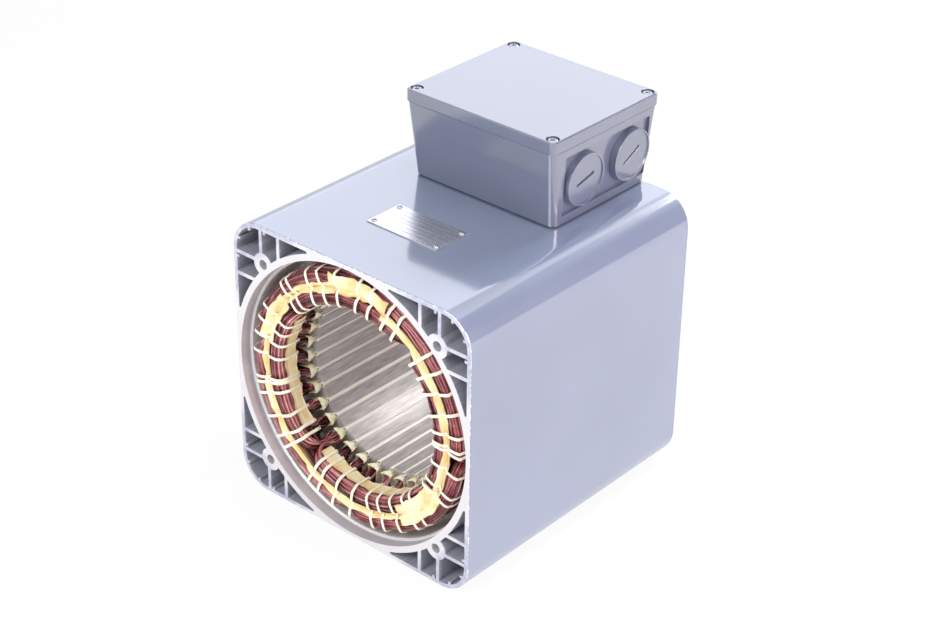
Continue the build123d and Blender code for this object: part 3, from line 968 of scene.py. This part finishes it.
def sheet_strip(rows, thickness):
    """A closed thin sheet from a grid of points, thickened along its own normals."""
    grid = np.asarray(rows, float)
    steps, width = grid.shape[:2]
    normal = np.cross(np.gradient(grid, axis=0), np.gradient(grid, axis=1))
    length = np.linalg.norm(normal, axis=2, keepdims=True)
    normal = normal / np.maximum(length, 1e-12)
    front_side = (grid + normal * thickness / 2).reshape(-1, 3)
    back_side = (grid - normal * thickness / 2).reshape(-1, 3)
    faces = []
    base = steps * width
    for i in range(steps - 1):
        for j in range(width - 1):
            a, b = i * width + j, i * width + j + 1
            c, d = b + width, a + width
            faces.append((d, c, b, a))
            faces.append((base + a, base + b, base + c, base + d))
    rim = ([i * width for i in range(steps)] + [(steps - 1) * width + j for j in range(1, width)]
           + [i * width + width - 1 for i in range(steps - 2, -1, -1)] + list(range(width - 2, 0, -1)))
    for a, b in zip(rim, rim[1:] + rim[:1]):
        faces.append((a, b, base + b, base + a))
    return np.concatenate([front_side, back_side]), faces


print("sheets in mm:", [round(t / mm, 2) for t in (sheet_thickness, strip_thickness, paper_thickness)])

# %% [markdown]
# Slot liners are sheets folded into each slot. Outside the core they are turned back over the
# teeth as a cuff, so they flare. Each liner is a U-shaped strip drawn along the slot, with four
# stations at each end set by how wide the fold stands there.

# %% Slot liners
cuff_reach = 6.0 * mm
cuff_bend = 0.8 * mm
liner_low, liner_high = 65.4 * mm, 79.6 * mm
liner_half_low, liner_half_high = 2.3 * mm, 3.55 * mm
liner_middle, liner_half_middle = (liner_low + liner_high) / 2, (liner_half_low + liner_half_high) / 2
liner_parts = []
for angle in slot_angles:
    stations = []
    for end_y, outwards in ((core_front, -1), (core_rear, 1)):
        flare = rng.uniform(0.7, 1.2) * mm
        reach = cuff_reach * rng.uniform(0.92, 1.06)
        stations.append([(end_y + outwards * reach, flare),
                         (end_y + outwards * 0.6 * reach, 0.75 * flare),
                         (end_y + outwards * cuff_bend, 0.1 * flare), (end_y, 0)])
    rows = []
    for y, flare in stations[0] + stations[1][::-1]:
        fold = ((liner_low - 0.5 * flare, liner_half_low + flare),
                (liner_middle, liner_half_middle + 0.7 * flare),
                (liner_high + 0.4 * flare, liner_half_high + 0.3 * flare))
        rows.append([slot_point(angle, radius, -side, y) for radius, side in fold]
                    + [slot_point(angle, radius, side, y) for radius, side in fold[::-1]])
    liner_parts.append(sheet_strip(rows, sheet_thickness))
make_piece("slot_liner_sheets", liner_parts, slot_film, ("slot_liners",), False)

# %% [markdown]
# A closing strip is pushed in behind the tooth tips of each slot. It is bowed, so that its middle
# stands in the slot's mouth and shows as a pale line along the bore.

# %% Closing strips
strip_reach = 0.6 * mm
strip_section = ((-1.9, 64.75), (-1.25, 64.5), (-1.1, 62.95), (0, 62.75),
                 (1.1, 62.95), (1.25, 64.5), (1.9, 64.75))
strip_parts = []
for angle in slot_angles:
    rows = [[slot_point(angle, radius * mm, side * mm, y) for side, radius in strip_section]
            for y in np.linspace(core_front - strip_reach, core_rear + strip_reach, 4)]
    strip_parts.append(sheet_strip(rows, strip_thickness))
make_piece("bowed_closing_strips", strip_parts, strip_film, ("closing_strips",), False)

# %% [markdown]
# Where the slot's mouth is closed, the strip's end stands out of the core too. It is snipped wider
# than the slot and springs open, which looks like a row of small bow ties round the bore.

# %% Strip tabs
tab_stations = ((0.3, 1.0, 64.4), (2.0, 1.4, 64.2), (4.2, 2.6, 64.1), (6.4, 3.2, 64.6))
tab_section = ((-1, 0.9), (-0.4, 0.0), (0.4, 0.0), (1, 0.9))
plain_spread, plain_length = 2.6 * mm, 6.6
tab_parts = []
for angle in slot_angles:
    rows = []
    spread = rng.uniform(3.1, 3.9) * mm
    tilt = rng.uniform(-0.5, 0.5) * mm
    for height, half, radius in tab_stations:
        half_here = half * mm * spread / plain_spread
        lean = tilt * height / plain_length
        y = core_front - height * mm
        rows.append([slot_point(angle, (radius + lift) * mm, side * half_here + lean, y)
                     for side, lift in tab_section])
    tab_parts.append(sheet_strip(rows, sheet_thickness))
end_pieces("strip_tabs", tab_parts, slot_film, None, False)

# %% [markdown]
# Phase paper stands between the inner and outer tiers and is folded over the groove between them.
# Its edges were torn or cut by hand, so its width wanders. At a few places a wider piece is
# wrapped over the bundles. The paper follows the wires' outline, and dips a little at the groove.

# %% Phase paper
paper_columns = 9
dip_depth, dip_half_width = 0.55, 1.6 * mm
paper_hang, paper_headroom = 4.5 * mm, 0.3 * mm
inner_edge_waves = ((7, 0.5), (13, 0.5), (31, 0.35), (47, 0.25))
outer_edge_waves = ((6, 0.5), (17, 0.5), (29, 0.4), (53, 0.25))


def wander(angles, sizes, seed):
    """Smooth uneven values round the shaft, from a few sine waves."""
    draw = np.random.default_rng(seed)
    total = np.zeros_like(angles, float)
    for cycles, size in sizes:
        total += size * np.sin(np.radians(angles) * cycles + draw.uniform(0, 2 * pi))
    return total


def bundle_crest(radius, lift):
    """Height of the wires' outline at a radius, seen along the arc, with a lift above it."""
    low_tier = (inner_radius + paper_radius - groove_half) / 2
    high_tier = (paper_radius + groove_half + outer_radius) / 2
    half = (paper_radius - inner_radius) / 2
    centre = np.where(radius < paper_radius, low_tier, high_tier)
    share = np.clip(np.abs(radius - centre) / half, 0, 0.985)
    middle_height = (crest_height + tier_base) / 2
    rounded = (1 - share ** section_power) ** (1 / section_power)
    return middle_height + (crest_height - middle_height) * rounded + lift


def crest_paper(start, stop, inwards_mm, outwards_mm, seed, lift_mm):
    """Paper laid over the crest of the bundles, so far inwards and outwards from the groove."""
    inner_reach, outer_reach = paper_radius - inwards_mm * mm, paper_radius + outwards_mm * mm
    lift = lift_mm * mm
    angles = np.linspace(start, stop, max(8, int((stop - start) / 2.5)))
    ragged = wander(angles, inner_edge_waves, seed) * mm
    ragged_out = wander(angles, outer_edge_waves, seed + 1) * mm
    rows = []
    for step, angle in enumerate(angles):
        radii = np.linspace(inner_reach + ragged[step], outer_reach + ragged_out[step], paper_columns)
        dip = dip_depth * np.exp(-((radii - paper_radius) / dip_half_width) ** 2) * mm
        crease = wander(np.array([angle * 3]), ((5, 0.18), (11, 0.12)), seed + 2)[0] * mm
        height = np.maximum(bundle_crest(radii, lift), crest_height - paper_hang) - dip + crease
        height = np.minimum(height, crest_height + lift + paper_headroom)
        rows.append(to_space(radii, np.full(paper_columns, angle), height))
    return sheet_strip(rows, paper_thickness)


full_cover = (outer_radius - paper_radius) / mm - 1.2
papers = ((-30, 72, 3.6, 2.6, 3, 0.5), (70, 103, 1.5, full_cover, 9, 0.75),
          (101, 142, 3.0, 3.4, 15, 0.5), (138, 168, 5.2, 5.5, 21, 0.75),
          (166, 303, 2.2, 2.8, 27, 0.5), (300, 333, 8.5, 6.0, 33, 0.75))
paper_parts = [crest_paper(*paper) for paper in papers]
end_pieces("phase_paper_band", paper_parts, phase_paper, "phase_paper")

# %% [markdown]
# On the bore side of the inner tier lie two loose strips of the same paper, under the lacing.

# %% Bore-side papers
bore_columns = 6
bore_top_waves = ((9, 0.6), (23, 0.4), (41, 0.3))
bore_bottom_waves = ((8, 0.6), (19, 0.5), (37, 0.4))


def bore_paper(start, stop, seed):
    """A strip of paper along the bore side of the inner tier, with an uneven edge."""
    angles = np.linspace(start, stop, int((stop - start) / 2))
    top = wander(angles, bore_top_waves, seed) * mm + crest_height - 5.5 * mm
    bottom = wander(angles, bore_bottom_waves, seed + 1) * mm + tier_base + 0.4 * mm
    rows = []
    for step, angle in enumerate(angles):
        heights = np.linspace(bottom[step], top[step], bore_columns)
        bulge = wander(np.array([angle * 2]), ((7, 0.12), (15, 0.1)), seed + 2)[0] * mm
        radii = inner_radius - 0.35 * mm + bulge + 0.3 * mm * np.linspace(1, 0, bore_columns)
        radii[-1] += 0.3 * mm
        rows.append(to_space(radii, np.full(bore_columns, angle), heights))
    return sheet_strip(rows, paper_thickness)


bore_papers = [bore_paper(147, 220, 5), bore_paper(237, 311, 11)]
end_pieces("bore_side_papers", bore_papers, phase_paper, "inner_papers")

# %% [markdown]
# Lacing cord is a flat tape tied round both bundles at each tooth. It is pulled tight, so it dips
# into the groove between the tiers. A loop is one closed path, up the bore side, over the crest and
# down behind, and a flat six-sided section is carried along it.

# %% Lacing loop
cord_width, cord_thickness = 2.2 * mm, 0.6 * mm
cord_inside, cord_outside, cord_below = 0.75 * mm, 0.5 * mm, 0.7 * mm
cord_round = 1.2 * mm
cord_hang, shoulder_drop = 2.2 * mm, 4.2 * mm
over_steps, side_steps = 15, 5


def loop_path(angle, slant, lift):
    """Middle line of one loop round the inner and outer tiers."""
    inside = inner_radius - cord_inside
    outside = outer_radius * cos(radians(slot_pitch / 2)) + cord_outside
    base = tier_base - cord_below
    over = np.linspace(inside + cord_round, outside - cord_round, over_steps)
    crest = np.maximum(bundle_crest(over, lift), crest_height - cord_hang)
    sides = np.linspace(0, 1, side_steps)
    under = np.linspace(outside, inside, side_steps + 1)[1:-1]
    radii = np.concatenate([np.full(side_steps, inside), over, np.full(side_steps, outside), under])
    shoulder = crest_height - shoulder_drop
    heights = np.concatenate([base + (shoulder - base) * sides, crest,
                              shoulder + (base - shoulder) * sides, np.full(len(under), base)])
    share = (radii - inside) / (outside - inside)
    angles = angle + slant * (share - 0.5) * np.where(heights > shoulder, 1, 0.4)
    return to_space(radii, angles, heights)


def lacing_loop(angle, slant, lift):
    """One closed loop of flat cord."""
    centre = loop_path(angle, slant, lift)
    along = np.roll(centre, -1, 0) - np.roll(centre, 1, 0)
    along /= np.linalg.norm(along, axis=1, keepdims=True)
    turn_angle = radians(angle)
    aside = np.array([-sin(turn_angle), 0, cos(turn_angle)])
    out = np.cross(along, aside)
    out /= np.linalg.norm(out, axis=1, keepdims=True)
    half, thick = cord_width / 2, cord_thickness / 2
    section = ((-half, 0), (-0.7 * half, thick), (0.7 * half, thick), (half, 0),
               (0.7 * half, -thick), (-0.7 * half, -thick))
    rows = np.stack([centre + a * aside + t * out for a, t in section], 1)
    return rows.reshape(-1, 3), ring_faces(len(centre), len(section), closed=True)


print("cord in mm:", round(cord_width / mm, 1), "by", round(cord_thickness / mm, 1))

# %% [markdown]
# No two loops stand quite the same: each is turned and slanted a little, and a few are doubled.
# Where one coil group ends and the next begins there is nothing to tie, so loops keep clear of it.

# %% Lacing
break_clearance = 0.85 * slot_pitch
double_chance, double_angle = 0.1, 2.2
single_lift, double_lift = 0.95 * mm, 1.1 * mm
first_break = slot_phase + inner_break_slot * slot_pitch
loops = []
for tooth in range(slot_count):
    angle = tooth_phase + tooth * slot_pitch + rng.uniform(-1.6, 1.6)
    past_break = (angle - first_break + pole_angle / 2) % pole_angle - pole_angle / 2
    if abs(past_break) < break_clearance:
        angle += (1 if past_break > 0 else -1) * (break_clearance - abs(past_break))
    loops.append(lacing_loop(angle, rng.uniform(-2.2, 2.2), single_lift))
    if rng.uniform() < double_chance:
        loops.append(lacing_loop(angle + double_angle, rng.uniform(-3, 3), double_lift))
print("loops at each end:", len(loops))
end_pieces("lacing_loops", loops, lacing_cord, "lacing")

# %% [markdown]
# Small fasteners are left to this script: four screws sunk in the lid's corners, and four rivets
# that hold the nameplate. Each is a turned profile spun round its own axis.

# %% Lid screws and plate rivets
screw_inset, recess_depth = 5.6 * mm, 2.5 * mm
screw_profile = ((3.3, 0), (3.3, 1.5), (2.9, 1.9), (1.7, 2.0), (1.5, 1.0))
rivet_inset = 3.2 * mm
rivet_profile = ((1.9, -0.2), (1.8, 0.4), (1.3, 0.9), (0.5, 1.1))


def spun(profile, x, y, z, sides):
    """A closed solid from (radius, height) points in mm, spun round an upright axis at a place."""
    turn_angles = [2 * pi * k / sides for k in range(sides)]
    verts = [(x + radius * mm * cos(turn_angle), y + radius * mm * sin(turn_angle), z + height * mm)
             for radius, height in profile for turn_angle in turn_angles]
    return np.array(verts), ring_faces(len(profile), sides)


def at_corners(low, high, inset, profile, z, sides):
    """A spun solid near each corner of a box."""
    return [spun(profile, x, y, z, sides) for x in (low.x + inset, high.x - inset)
            for y in (low.y + inset, high.y - inset)]


lid_low, lid_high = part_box("terminal_box_lid")
screws = at_corners(lid_low, lid_high, screw_inset, screw_profile, lid_high.z - recess_depth, 24)
make_piece("lid_screws", screws, zinc_steel, (), False)
plate_low, plate_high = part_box("nameplate")
rivets = at_corners(plate_low, plate_high, rivet_inset, rivet_profile, plate_high.z, 16)
make_piece("plate_rivets", rivets, zinc_steel)

# %% [markdown]
# The nameplate is a thin rolled sheet with a plain face. A broken upper edge makes its rim, and
# ruled lines, raised by a few hundredths of a millimetre, mark the fields.

# %% Nameplate
plate_edge = 0.25 * mm
rule_count, first_rule, rule_step = 6, 5, 4
rule_height, rule_sink, rule_width = 0.06 * mm, 0.05 * mm, 0.35 * mm
rule_margin = 6 * mm
plate_mesh = copy_mesh("nameplate")
upper = [edge for edge in plate_mesh.edges
         if all(v.co.z > plate_high.z - touch for v in edge.verts)]
break_edges(plate_mesh, upper, plate_edge)
finish_copy(plate_mesh, "blank_nameplate", (plate_metal,), "nameplate")
rule_left, rule_right = plate_low.x + rule_margin, plate_high.x - rule_margin
rule_parts = []
for row in range(rule_count):
    y = plate_low.y + (first_rule + rule_step * row) * mm
    corners = [(x, y + side * rule_width / 2, plate_high.z + h) for h in (-rule_sink, rule_height)
               for x, side in ((rule_left, -1), (rule_right, -1), (rule_right, 1), (rule_left, 1))]
    rule_parts.append((np.array(corners), ring_faces(2, 4)))
make_piece("plate_rules", rule_parts, zinc_steel, (), False)

# %% [markdown]
# Last, the view layer is updated.

# %% Update the view layer
bpy.context.view_layer.update()
